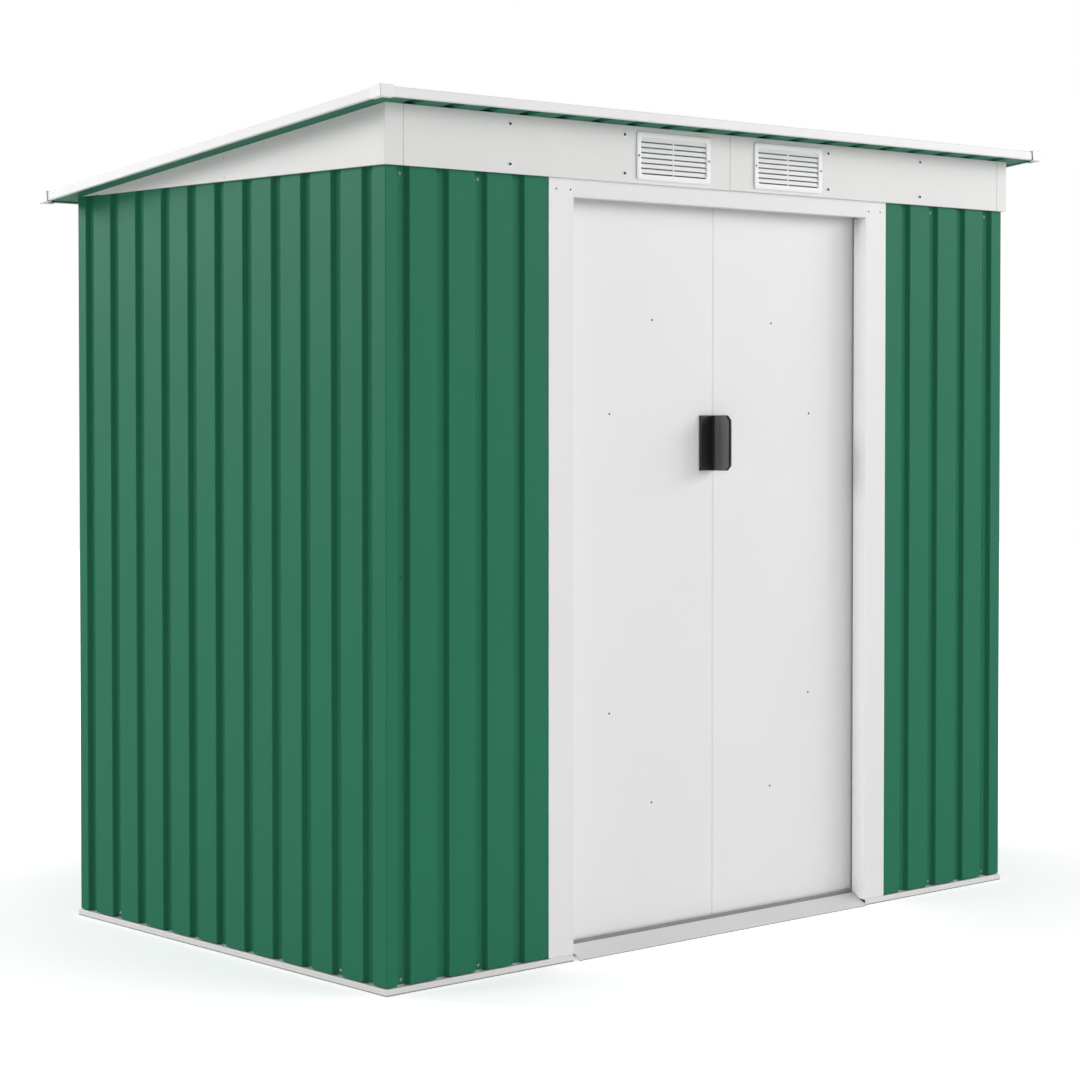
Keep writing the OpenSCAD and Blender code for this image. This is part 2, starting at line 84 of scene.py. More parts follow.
# Soft studio light: square lamp panels all round, each aimed at the middle of the shed.
# Turn is counted from straight in front towards the right, rise above the horizon.
studio = {
    "fill": 0.14,
    "backdrop": 1.0,
    "floorGlow": 0.18,
    "nearView": 0.42,
    "farView": 0.9,
    "fadeFrom": 0.9,
    "fadeTo": 3.2,
    "aim": (0.0, 0.0, 0.9),
    "distance": 16.0,
    "lamps": {
        "overhead": {"turn": 20, "rise": 75, "size": 6.7, "power": 190},
        "frontKey": {"turn": 45, "rise": 18, "size": 6.7, "power": 430},
        "frontGrazing": {"turn": 65, "rise": 18, "size": 6.7, "power": 1110},
        "frontFill": {"turn": 25, "rise": 18, "size": 6.7, "power": 410},
        "cornerFill": {"turn": -18, "rise": 12, "size": 8.0, "power": 178},
        "sideGrazing": {"turn": -152, "rise": 18, "size": 5.3, "power": 1620},
        "sideKey": {"turn": -115, "rise": 20, "size": 6.7, "power": 620},
    },
}


def placeLamp(name, lamp, only=None):
    light = bpy.data.lights.new(name, "AREA")
    light.size = lamp["size"]
    light.energy = lamp["power"]
    turn, rise = radians(lamp["turn"]), radians(lamp["rise"])
    out = Vector((cos(rise) * sin(turn), -cos(rise) * cos(turn), sin(rise)))
    holder = bpy.data.objects.new(name, light)
    holder.location = Vector(studio["aim"]) + out * studio["distance"]
    holder.rotation_euler = out.to_track_quat("Z", "Y").to_euler()
    bpy.context.scene.collection.objects.link(holder)
    if only:
        holder.light_linking.receiver_collection = only


for name, lamp in studio["lamps"].items():
    placeLamp(name, lamp)


def addNode(tree, kind, settings=None, inputs=None):
    node = tree.nodes.new(kind)
    for key, value in (settings or {}).items():
        setattr(node, key, value)
    for socket, value in (inputs or {}).items():
        if isinstance(value, bpy.types.NodeSocket):
            tree.links.new(value, node.inputs[socket])
        else:
            node.inputs[socket].default_value = value
    return node


world = bpy.data.worlds.new("studioAir")
world.use_nodes = True
bpy.context.scene.world = world
air = world.node_tree
air.nodes.clear()
fillLight = addNode(air, "ShaderNodeBackground", inputs={
    "Color": (1, 1, 1, 1), "Strength": studio["fill"]})
backdrop = addNode(air, "ShaderNodeBackground", inputs={
    "Color": (1, 1, 1, 1), "Strength": studio["backdrop"]})
rayKind = addNode(air, "ShaderNodeLightPath")
airMix = addNode(air, "ShaderNodeMixShader", inputs={
    0: rayKind.outputs["Is Camera Ray"], 1: fillLight.outputs[0], 2: backdrop.outputs[0]})
addNode(air, "ShaderNodeOutputWorld", inputs={"Surface": airMix.outputs[0]})
print("camera and lights placed")


def linear(hexColour):
    parts = [int(hexColour[i:i + 2], 16) / 255 for i in (1, 3, 5)]
    return tuple(c / 12.92 if c <= 0.04045 else ((c + 0.055) / 1.055) ** 2.4 for c in parts) + (1.0,)


def startMaterial(name, settings):
    material = bpy.data.materials.new(name)
    material.use_nodes = True
    tree = material.node_tree
    tree.nodes.clear()
    place = addNode(tree, "ShaderNodeTexCoord").outputs["Object"]
    shader = addNode(tree, "ShaderNodeBsdfPrincipled", inputs=settings)
    addNode(tree, "ShaderNodeOutputMaterial", inputs={"Surface": shader.outputs[0]})
    return material, tree, place, shader


# Polyester coated steel sheet, rolled and then painted on the coil. The eye gets an even satin
# colour with a faint cloudiness, a fine orange peel, and soft broad highlights.
def coatedSteel(name, finish):
    material, tree, place, shader = startMaterial(name, {
        "Metallic": 0.0, "IOR": 1.5, "Specular IOR Level": finish["sheen"]})
    cloud = addNode(tree, "ShaderNodeTexNoise", inputs={
        "Vector": place, "Scale": 1 / (finish["cloudSize"] * mm), "Detail": 3.0, "Roughness": 0.6})
    tone = addNode(tree, "ShaderNodeMix", {"data_type": "RGBA"}, {
        "Factor": cloud.outputs["Fac"], 6: linear(finish["dark"]), 7: linear(finish["light"])})
    tree.links.new(tone.outputs[2], shader.inputs["Base Color"])
    rub = addNode(tree, "ShaderNodeTexNoise", inputs={
        "Vector": place, "Scale": 1 / (finish["rubSize"] * mm), "Detail": 4.0, "Roughness": 0.65})
    gloss = addNode(tree, "ShaderNodeMapRange", inputs={
        "Value": rub.outputs["Fac"], "From Min": 0.25, "From Max": 0.75,
        "To Min": finish["gloss"][0], "To Max": finish["gloss"][1]})
    tree.links.new(gloss.outputs["Result"], shader.inputs["Roughness"])
    # Orange peel is about 1.5 mm across on the real sheet, and drawn twice as coarse so that it shows
    peel = addNode(tree, "ShaderNodeTexNoise", inputs={
        "Vector": place, "Scale": 1 / (finish["peelSize"] * mm), "Detail": 1.5})
    bump = addNode(tree, "ShaderNodeBump", inputs={
        "Strength": finish["peelStrength"], "Distance": finish["peelDepth"] * mm,
        "Height": peel.outputs["Fac"]})
    tree.links.new(bump.outputs["Normal"], shader.inputs["Normal"])
    return material


# Hot dipped galvanised steel. The eye gets flat grey crystals that each turn the light a little.
def galvanisedSteel(name, finish):
    material, tree, place, shader = startMaterial(name, {"Metallic": 1.0})
    crystals = addNode(tree, "ShaderNodeTexVoronoi", inputs={
        "Vector": place, "Scale": 1 / (finish["crystalSize"] * mm), "Randomness": 1.0})
    level = addNode(tree, "ShaderNodeSeparateColor", inputs={0: crystals.outputs["Color"]})
    tone = addNode(tree, "ShaderNodeMix", {"data_type": "RGBA"}, {
        "Factor": level.outputs[0], 6: linear(finish["dark"]), 7: linear(finish["light"])})
    tree.links.new(tone.outputs[2], shader.inputs["Base Color"])
    gloss = addNode(tree, "ShaderNodeMapRange", inputs={
        "Value": level.outputs[1], "To Min": finish["gloss"][0], "To Max": finish["gloss"][1]})
    tree.links.new(gloss.outputs["Result"], shader.inputs["Roughness"])
    grain = addNode(tree, "ShaderNodeTexNoise", inputs={
        "Vector": place, "Scale": 1 / (finish["grainSize"] * mm), "Detail": 3.0})
    bump = addNode(tree, "ShaderNodeBump", inputs={
        "Strength": finish["grainStrength"], "Distance": finish["grainDepth"] * mm,
        "Height": grain.outputs["Fac"]})
    tree.links.new(bump.outputs["Normal"], shader.inputs["Normal"])
    return material


# Injection moulded plastic. The eye gets one even colour, a fine spark eroded texture
# and highlights that soften where the texture is stronger.
def mouldedPlastic(name, finish):
    material, tree, place, shader = startMaterial(name, {"Metallic": 0.0, "IOR": 1.53})
    flow = addNode(tree, "ShaderNodeTexNoise", inputs={
        "Vector": place, "Scale": 1 / (finish["flowSize"] * mm), "Detail": 2.0})
    tone = addNode(tree, "ShaderNodeMix", {"data_type": "RGBA"}, {
        "Factor": flow.outputs["Fac"], 6: linear(finish["dark"]), 7: linear(finish["light"])})
    tree.links.new(tone.outputs[2], shader.inputs["Base Color"])
    spark = addNode(tree, "ShaderNodeTexNoise", inputs={
        "Vector": place, "Scale": 1 / (finish["sparkSize"] * mm), "Detail": 2.0})
    gloss = addNode(tree, "ShaderNodeMapRange", inputs={
        "Value": spark.outputs["Fac"], "From Min": 0.3, "From Max": 0.7,
        "To Min": finish["gloss"][0], "To Max": finish["gloss"][1]})
    tree.links.new(gloss.outputs["Result"], shader.inputs["Roughness"])
    bump = addNode(tree, "ShaderNodeBump", inputs={
        "Strength": finish["sparkStrength"], "Distance": finish["sparkDepth"] * mm,
        "Height": spark.outputs["Fac"]})
    tree.links.new(bump.outputs["Normal"], shader.inputs["Normal"])
    return material


coat = {"cloudSize": 320, "rubSize": 45, "gloss": (0.40, 0.50), "peelSize": 3.0,
        "peelStrength": 0.10, "peelDepth": 0.03, "sheen": 0.3}
greenCoat = coatedSteel("greenCoatedSteel", {
    **coat, "sheen": 0.06, "dark": "#287056", "light": "#2B745A"})
wallWhite = coatedSteel("whiteCoatedSteel", {**coat, "dark": "#DAD9D8", "light": "#E0DFDE"})
doorWhite = coatedSteel("doorWhiteSteel", {**coat, "dark": "#E5E3E4", "light": "#EAE8E9"})
frameWhite = coatedSteel("frameWhiteSteel", {**coat, "dark": "#DFDEDE", "light": "#E4E3E3"})
trimWhite = coatedSteel("trimWhiteSteel", {**coat, "dark": "#E3E2E2", "light": "#E8E7E7"})
dip = {"grainStrength": 0.15, "grainDepth": 0.02}
zinc = galvanisedSteel("galvanisedSteel", {
    **dip, "crystalSize": 9, "grainSize": 0.8, "gloss": (0.32, 0.5), "dark": "#A9ADB0", "light": "#C9CDD0"})
# A darker, duller zinc, used on the front wall's screws
dullZinc = galvanisedSteel("darkerZinc", {
    **dip, "crystalSize": 4, "grainSize": 0.6, "gloss": (0.5, 0.65), "dark": "#8A8E90", "light": "#9DA1A3"})
plastic = {"flowSize": 60, "sparkSize": 1.2, "sparkStrength": 0.12, "sparkDepth": 0.03,
           "gloss": (0.38, 0.48)}
ventPlastic = mouldedPlastic("whiteMouldedPlastic", {**plastic, "dark": "#E6E6E5", "light": "#EBEBEA"})
capPlastic = mouldedPlastic("cornerCapPlastic", {**plastic, "dark": "#E2E2E1", "light": "#E6E6E5"})
handlePlastic = mouldedPlastic("blackMouldedPlastic", {
    **plastic, "gloss": (0.30, 0.40), "dark": "#1D1D1E", "light": "#222223"})
# Painted light: a lighter black for the handles' faces that look sideways, where the lamp from the left
# falls
sideLitPlastic = mouldedPlastic("paintedSideLightPlastic", {
    **plastic, "gloss": (0.42, 0.52), "dark": "#4B4B4C", "light": "#535354"})
glideNylon = mouldedPlastic("naturalNylon", {
    **plastic, "gloss": (0.42, 0.55), "dark": "#DAD8D0", "light": "#E3E1D9"})
# Black screw heads, also used for the painted shade in the screws' cross recesses
darkBoltAndRecessShade = mouldedPlastic("blackenedScrewAndRecessShade", {
    **plastic, "gloss": (0.30, 0.42), "dark": "#17181A", "light": "#202224"})
sealWasher = mouldedPlastic("whiteWasherPlastic", {
    **plastic, "gloss": (0.45, 0.55), "dark": "#F0F0EF", "light": "#F6F6F5"})
# Grey for the feet of the rails and the ramp: partly the sheets' bare cut edge, partly painted shade where
# they meet the floor
cutEdgeAndFootShade = coatedSteel("greyCutEdgeAndFootShade", {**coat, "gloss": (0.5, 0.6), "dark": "#8F8F8F", "light": "#9E9E9E"})
# Painted shadow: the grey on the ramp's lip stands for the shade under the doors' bottoms
rampLipShadow = mouldedPlastic("paintedRampLipShadow", {
    **plastic, "gloss": (0.55, 0.65), "dark": "#858585", "light": "#959594"})
screenMesh = mouldedPlastic("greyInsectScreen", {
    **plastic, "gloss": (0.5, 0.6), "dark": "#55585A", "light": "#64676A"})
sealantGrey = mouldedPlastic("greySealant", {
    **plastic, "gloss": (0.5, 0.6), "dark": "#8F908F", "light": "#A2A3A2"})
print("materials made")


# Turns a bmesh into a finished piece that rides on a body
def finishPiece(name, bm, materials, body, replaced=(), smoothBelow=35, keepFlats=False):
    for edge in bm.edges:
        edge.smooth = len(edge.link_faces) == 2 and edge.calc_face_angle(0) < radians(smoothBelow)
    if not keepFlats:
        for face in bm.faces:
            face.smooth = True
    mesh = bpy.data.meshes.new(name)
    bm.to_mesh(mesh)
    bm.free()
    for material in materials:
        mesh.materials.append(material)
    piece = bpy.data.objects.new(name, mesh)
    bpy.context.scene.collection.objects.link(piece)
    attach(piece, body)
    if replaced:
        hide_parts(*replaced)
    return piece


# A box added to a bmesh, by its middle and its sizes in metres
def addBox(bm, middle, sizes):
    place = Matrix.Translation(middle) @ Matrix.Diagonal((*sizes, 1))
    bmesh.ops.create_cube(bm, size=1, matrix=place)


# Edges that run up a standing strip
def uprightEdges(bm, least=0.05):
    return [edge for edge in bm.edges if abs(edge.verts[0].co.z - edge.verts[1].co.z) > least]


# How far a face reaches from the line of one of its edges
def faceReach(face, edge):
    start = edge.verts[0].co
    along = (edge.verts[1].co - start).normalized()
    offsets = [vert.co - start for vert in face.verts]
    return max((offset - along * offset.dot(along)).length for offset in offsets)


# When two points are one, when faces are one flat, and when an edge is a bend. A face beside
# a bend or a broken edge is at least this wide. Angles are in degrees, the rest in millimetres.
foldLimits = {"samePoint": 0.01, "sameEnd": 0.2, "sameCut": 0.001, "flatAngle": 0.5, "bendAngle": 20,
              "bendFace": 2.8, "rimFace": 0.7}


# A folded sheet or bar with its bends rounded as a brake leaves them, and its cut edges just broken.
# Each band is a lowest place, a highest place and the material that the piece has between them,
# along one axis. Reach moves the piece's right end from one place along X to another.
def foldedPiece(nodeName, material, bend, shortest=60, segments=3, rim=0.0,
                bands=(), axis=2, reach=None):
    limits = foldLimits
    body = nodes[nodeName]["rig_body"]
    bm = bmesh.new()
    bm.from_mesh(nodes[nodeName].data)
    bmesh.ops.remove_doubles(bm, verts=bm.verts, dist=limits["samePoint"] * mm)
    if reach:
        fromX, toX = reach
        ends = [vert for vert in bm.verts if abs(vert.co.x - fromX) < limits["sameEnd"] * mm]
        bmesh.ops.translate(bm, verts=ends, vec=(toX - fromX, 0, 0))
    bmesh.ops.dissolve_limit(bm, angle_limit=radians(limits["flatAngle"]), verts=bm.verts, edges=bm.edges)
    bends, rims = [], []
    for edge in bm.edges:
        if len(edge.link_faces) != 2 or edge.calc_length() < shortest * mm:
            continue
        if edge.calc_face_angle(0) < radians(limits["bendAngle"]):
            continue
        narrowest = min(faceReach(face, edge) for face in edge.link_faces)
        if narrowest > limits["bendFace"] * mm:
            bends.append(edge)
        elif rim and narrowest > limits["rimFace"] * mm:
            rims.append(edge)
    rounded = set()
    for edges, radius, steps in ((rims, rim, 1), (bends, bend, segments)):
        live = [edge for edge in edges if edge.is_valid]
        if live and radius:
            made = bmesh.ops.bevel(bm, geom=live, offset=radius * mm, offset_type="OFFSET",
                                   affect="EDGES", segments=steps, profile=0.5, material=-1,
                                   clamp_overlap=True)
            rounded.update(made["faces"])
    for face in bm.faces:
        face.smooth = face in rounded
    normal = Vector([float(i == axis) for i in range(3)])
    for index, (low, high, paint) in enumerate(bands, 1):
        for place in (low, high):
            bmesh.ops.bisect_plane(bm, geom=bm.verts[:] + bm.edges[:] + bm.faces[:],
                                   dist=limits["sameCut"] * mm,
                                   plane_co=normal * place * mm, plane_no=normal)
        for face in bm.faces:
            if low * mm < face.calc_center_median()[axis] < high * mm:
                face.material_index = index
    return finishPiece(nodeName + "_folded", bm, [material] + [band[2] for band in bands], body,
                       (nodeName,), keepFlats=True)


greenSheets = [name for name in nodes if "panel" in name and not name.startswith("door")]
for name in greenSheets:
    foldedPiece(name, greenCoat, bend=1.3, shortest=300)
for name in ("fascia_left", "fascia_right", "gable_left", "gable_right"):
    foldedPiece(name, wallWhite, bend=1.6, rim=0.3)
for name in ("door_jamb_left", "door_jamb_right", "door_header"):
    foldedPiece(name, frameWhite, bend=1.2, rim=0.3)
# The lowest few millimetres of each rail, and of the ramp below, are grey: partly bare cut edge, partly
# painted shade where they meet the floor
railSizes = {"bend": 2.4, "edge": 3.2}
for name in ("base_rail_front", "base_rail_rear", "base_rail_left", "base_rail_right"):
    foldedPiece(name, wallWhite, bend=railSizes["bend"], segments=4,
                bands=[(0.0, railSizes["edge"], cutEdgeAndFootShade)])
# The ramp's right end is drawn out to the jamb, and its lip is painted grey as the shadow under the doors'
# bottoms
rampSizes = {"half": 467.5, "gap": 0.3, "edge": 2.2, "crest": 27.6, "lip": 36.0}
foldedPiece("door_sill", wallWhite, bend=1.0,
            bands=[(0.0, rampSizes["edge"], cutEdgeAndFootShade),
                   (rampSizes["crest"], rampSizes["lip"], rampLipShadow)],
            reach=(rampSizes["half"] * mm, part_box("door_jamb_right")[0].x - rampSizes["gap"] * mm))
for name in ("roof_trim_front", "roof_trim_rear", "roof_trim_left", "roof_trim_right"):
    foldedPiece(name, trimWhite, bend=1.4)
for name in ("door_panel_left", "door_panel_right"):
    foldedPiece(name, doorWhite, bend=1.2)
for name in ("roof_beam", "front_rails", "side_rails_left", "side_rails_right", "rear_rails",
             "door_track_top", "door_braces_left", "door_braces_right"):
    foldedPiece(name, zinc, bend=0.9)
# The handles' faces that look sideways, over the front share of their depth, get a lighter black: painted
# light where the lamp from the left falls on them
sideLightBand = {"sideways": 0.7, "share": 0.78}
for name in ("door_handle_left", "door_handle_right"):
    lowest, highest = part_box(name)
    root = lowest.y + sideLightBand["share"] * (highest.y - lowest.y)
    handle = foldedPiece(name, handlePlastic, bend=0.8, shortest=2, axis=1,
                         bands=[(lowest.y / mm, root / mm, sideLitPlastic)])
    for polygon in handle.data.polygons:
        if abs(polygon.normal.x) < sideLightBand["sideways"]:
            polygon.material_index = 0
for name in ("door_glides_left", "door_glides_right"):
    foldedPiece(name, glideNylon, bend=1.0, shortest=5)
foldedPiece("roof_corner_caps", capPlastic, bend=2.0, shortest=8)

# A soft white edge seal closes the gap between the doors, half of it on each door
sealSizes = {"width": 2.35, "deep": 8.0, "setBack": 0.3, "round": 0.4}
for side, hand in (("left", -1), ("right", 1)):
    lowest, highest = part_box("door_panel_" + side)
    innerX = highest.x if hand < 0 else lowest.x
    strip = bmesh.new()
    addBox(strip, (innerX - hand * sealSizes["width"] / 2 * mm,
                   lowest.y + (sealSizes["setBack"] + sealSizes["deep"] / 2) * mm,
                   (lowest.z + highest.z) / 2),
           (sealSizes["width"] * mm, sealSizes["deep"] * mm, highest.z - lowest.z))
    noses = [edge for edge in uprightEdges(strip)
             if edge.verts[0].co.y < lowest.y + sealSizes["deep"] / 2 * mm]
    bmesh.ops.bevel(strip, geom=noses, offset=sealSizes["round"] * mm, offset_type="OFFSET",
                    affect="EDGES", segments=3, profile=0.5, material=-1)
    finishPiece("door_seal_" + side, strip, [doorWhite], side + "_door")
print("sheets, rails and trims folded")

# Places on the shed that the small parts are set from
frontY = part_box("front_panel_left")[0].y
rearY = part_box("rear_panel_left")[1].y
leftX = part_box("side_panel_left_front")[0].x
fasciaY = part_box("fascia_left")[0].y
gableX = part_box("gable_left")[0].x
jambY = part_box("door_jamb_left")[0].y
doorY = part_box("door_panel_left")[0].y
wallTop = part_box("fascia_left")[0].z

# Screws and bolts, in millimetres. A cross recess stands as a dark cross on the head: painted shade for the
# hollow.
screwSizes = {
    "fasciaBolt": {"head": 3.4, "height": 2.2, "washer": 5.6, "washerThick": 0.8},
    "frameScrew": {"head": 2.1, "height": 1.2, "washer": 0.0, "washerThick": 0.0},
    "doorScrew": {"head": 2.4, "height": 1.2, "washer": 0.0, "washerThick": 0.0},
    "wallScrew": {"head": 2.3, "height": 1.4, "washer": 3.0, "washerThick": 0.5},
    "lapScrew": {"head": 2.0, "height": 1.2, "washer": 0.0, "washerThick": 0.0},
    "roofScrew": {"head": 4.4, "height": 2.6, "washer": 7.5, "washerThick": 1.4},
    "plasticScrew": {"head": 2.2, "height": 0.9, "washer": 0.0, "washerThick": 0.0},
}
# Shares of the head: its straight foot, shoulder, crown and cross
screwShape = {"sides": 20, "foot": 0.55, "shoulder": 0.92, "crown": 0.55, "washerTaper": 0.4,
              "crossLong": 0.9, "crossWide": 0.2, "crossProud": 0.1}


def addScrew(bm, size, place, facing):
    shape = screwShape
    turn = Vector((0, 0, 1)).rotation_difference(Vector(facing)).to_matrix().to_4x4()
    seat = Matrix.Translation(place) @ turn

    def paint(made, index):
        for face in {face for vert in made["verts"] for face in vert.link_faces}:
            face.material_index = index

    def disc(radius, narrow, low, thick, index):
        middle = Matrix.Translation((0, 0, (low + thick / 2) * mm))
        paint(bmesh.ops.create_cone(bm, cap_ends=True, segments=shape["sides"], radius1=radius * mm,
                                    radius2=narrow * mm, depth=thick * mm, matrix=seat @ middle), index)

    if size["washer"]:
        disc(size["washer"], size["washer"] - shape["washerTaper"], 0, size["washerThick"], 1)
    foot, waist, head = size["washerThick"], size["height"] * shape["foot"], size["head"]
    shoulder = head * shape["shoulder"]
    disc(head, shoulder, foot, waist, 0)
    disc(shoulder, head * shape["crown"], foot + waist, size["height"] - waist, 0)
    lift = Matrix.Translation((0, 0, (foot + size["height"]) * mm))
    slot = Matrix.Diagonal((head * shape["crossLong"] * mm, head * shape["crossWide"] * mm,
                            shape["crossProud"] * mm, 1))
    # The dark cross is painted shade in the recess, a thin block proud of the head
    for spin in (0, pi / 2):
        cross = seat @ lift @ Matrix.Rotation(spin, 4, "Z") @ slot
        paint(bmesh.ops.create_cube(bm, size=1, matrix=cross), 2)


def screwSet(name, size, places, facing, head, body="root"):
    bm = bmesh.new()
    for place in places:
        addScrew(bm, screwSizes[size], place, facing)
    finishPiece(name, bm, [head, sealWasher, darkBoltAndRecessShade], body)


# Where they stand, in metres: across from the middle, up from the ground unless the name says
# otherwise, and in steps of the groove pitch
forward, leftward, rightward, backward = (0, -1, 0), (-1, 0, 0), (1, 0, 0), (0, 1, 0)
fixings = {
    "fasciaBoltsAcross": (-0.670, -0.334, 0.334, 0.670),
    "fasciaBoltsAbove": (0.020, 0.105),
    "frameScrewsAcross": (-0.531, -0.489, 0.489, 0.531),
    "frameScrewsBelowTop": 0.024,
    "doorScrews": ((0.196, 1.408), (0.196, 0.315), (0.328, 1.196), (0.328, 0.527)),
    "groovePitch": 0.1054,
    "grooveDepth": 0.010,
    "frontGroove": (0.0455, 0.0557),
    "sideGroove": 0.0617,
    "sideLap": 5,
    "frontWallSteps": (0, 2),
    "sideWallSteps": (1, 9),
    "rearWallSteps": range(-8, 9, 2),
    "wallScrewHeights": (0.027, 1.692),
    "rearScrewsBelowTop": 0.030,
    "lapHeight": 0.860,
    "gableScrews": ((0.556, 0.050), (0.556, 0.008)),
    "roofSteps": range(-9, 9, 3),
    "roofRowsBehindFront": (0.012, 0.566),
    "roofRowBeforeRear": 0.020,
}
screwSet("fascia_bolts", "fasciaBolt", [(x, fasciaY, wallTop + z) for x in fixings["fasciaBoltsAcross"]
                                        for z in fixings["fasciaBoltsAbove"]], forward, darkBoltAndRecessShade)
screwSet("frame_screws", "frameScrew", [(x, jambY, wallTop - fixings["frameScrewsBelowTop"])
                                        for x in fixings["frameScrewsAcross"]], forward, darkBoltAndRecessShade)
for side, body in ((-1, "left_door"), (1, "right_door")):
    screwSet("door_screws_" + body.split("_")[0], "doorScrew",
             [(side * x, doorY, z) for x, z in fixings["doorScrews"]], forward, darkBoltAndRecessShade, body)

# Wall screws stand in the bottoms of the grooves
pitch, deep = fixings["groovePitch"], fixings["grooveDepth"]
low, high = fixings["wallScrewHeights"]
places, laps = [], []
for side, first in zip((-1, 1), fixings["frontGroove"]):
    edge = -leftX - first
    places += [(side * (edge - step * pitch), frontY + deep, z)
               for step in fixings["frontWallSteps"] for z in (low, high)]
    laps.append((side * edge, frontY + deep, fixings["lapHeight"]))
screwSet("front_wall_screws", "wallScrew", places, forward, dullZinc)
screwSet("front_lap_screws", "lapScrew", laps, forward, darkBoltAndRecessShade)
for side, facing, name in ((-1, leftward, "left"), (1, rightward, "right")):
    bottomX, firstY = side * (-leftX - deep), frontY + fixings["sideGroove"]
    screwSet(name + "_wall_screws", "wallScrew",
             [(bottomX, firstY + step * pitch, low) for step in fixings["sideWallSteps"]], facing, zinc)
    screwSet(name + "_lap_screws", "lapScrew",
             [(bottomX, firstY + fixings["sideLap"] * pitch, fixings["lapHeight"])], facing, darkBoltAndRecessShade)
    screwSet(name + "_gable_screws", "frameScrew",
             [(side * -gableX, frontY + y, wallTop + z) for y, z in fixings["gableScrews"]], facing, zinc)
screwSet("rear_wall_screws", "wallScrew",
         [(step * pitch, rearY - deep, z) for step in fixings["rearWallSteps"]
          for z in (low, wallTop - fixings["rearScrewsBelowTop"])]
         + [(0.0, rearY - deep, fixings["lapHeight"])], backward, zinc)

# Roof screws stand on the flats, in rows over the eaves rails and the beam
roofSlope = {"pitch": 6.28, "ribHeight": 0.010}
pitchAngle = radians(roofSlope["pitch"])
roofLow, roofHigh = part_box("roof_panel_2")


def onRoof(x, y):
    run = (y - roofLow.y) / cos(pitchAngle)
    return (x, y, roofHigh.z - roofSlope["ribHeight"] * cos(pitchAngle) - run * sin(pitchAngle))


roofRows = [frontY + y for y in fixings["roofRowsBehindFront"]] + [rearY - fixings["roofRowBeforeRear"]]
screwSet("roof_screws", "roofScrew",
         [onRoof((step + 0.5) * pitch, y) for step in fixings["roofSteps"] for y in roofRows],
         (0, sin(pitchAngle), cos(pitchAngle)), zinc)
print("screws set")

# Joints in the fascia, each filled with a thin line of sealant
jointSizes = {"across": (0.0, -0.9605, 0.9715), "width": 1.3, "proud": 0.15, "deep": 0.6, "round": 0.12}
fasciaLow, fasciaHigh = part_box("fascia_left")
joints = bmesh.new()
for x in jointSizes["across"]:
    addBox(joints, (x, fasciaY + (jointSizes["deep"] / 2 - jointSizes["proud"]) * mm,
                    (fasciaLow.z + fasciaHigh.z) / 2),
           (jointSizes["width"] * mm, jointSizes["deep"] * mm, fasciaHigh.z - fasciaLow.z))
bmesh.ops.bevel(joints, geom=uprightEdges(joints), offset=jointSizes["round"] * mm,
                offset_type="OFFSET", affect="EDGES", segments=2, profile=0.5, material=-1)
finishPiece("fascia_joints", joints, [sealantGrey], "root")

# Vents: a rounded frame and seven hooded blades with rounded upper corners. Behind them are a web
# for each blade, a mullion and an insect screen.
ventSizes = {
    "rim": 13, "frameCorner": 8, "openCorner": 6, "proud": 3.0, "edge": 1.1,
    "blades": 7, "bladeShare": 0.73, "bladeGap": 0.3, "bladeCorner": 3.6, "bladeThick": 0.8,
    "bladeBack": -0.3, "bladeFront": 2.6, "webShare": 0.5, "web": (-1.05, -0.35),
    "mullion": 4.0, "mullionDepths": (-1.0, 0.6), "screen": (-1.2, -1.06), "screenLap": 0.5,
    "screwInset": 5,
}


def roundedLoop(bm, width, height, corner, steps):
    made = bmesh.ops.create_grid(bm, x_segments=1, y_segments=1, size=0.5)
    bmesh.ops.scale(bm, verts=made["verts"], vec=(width * mm, height * mm, 1))
    rounded = bmesh.ops.bevel(bm, geom=made["verts"], offset=corner * mm, offset_type="OFFSET",
                              affect="VERTICES", segments=steps, profile=0.5, material=-1)
    middle = max((face for vert in rounded["verts"] for face in vert.link_faces),
                 key=lambda face: face.calc_area())
    edges = list(middle.edges)
    bmesh.ops.delete(bm, geom=[middle], context="FACES_ONLY")
    return edges


def slab(bm, width, height, middleY, depths):
    low, high = depths
    addBox(bm, (0, middleY * mm, (low + high) / 2 * mm), (width * mm, height * mm, (high - low) * mm))


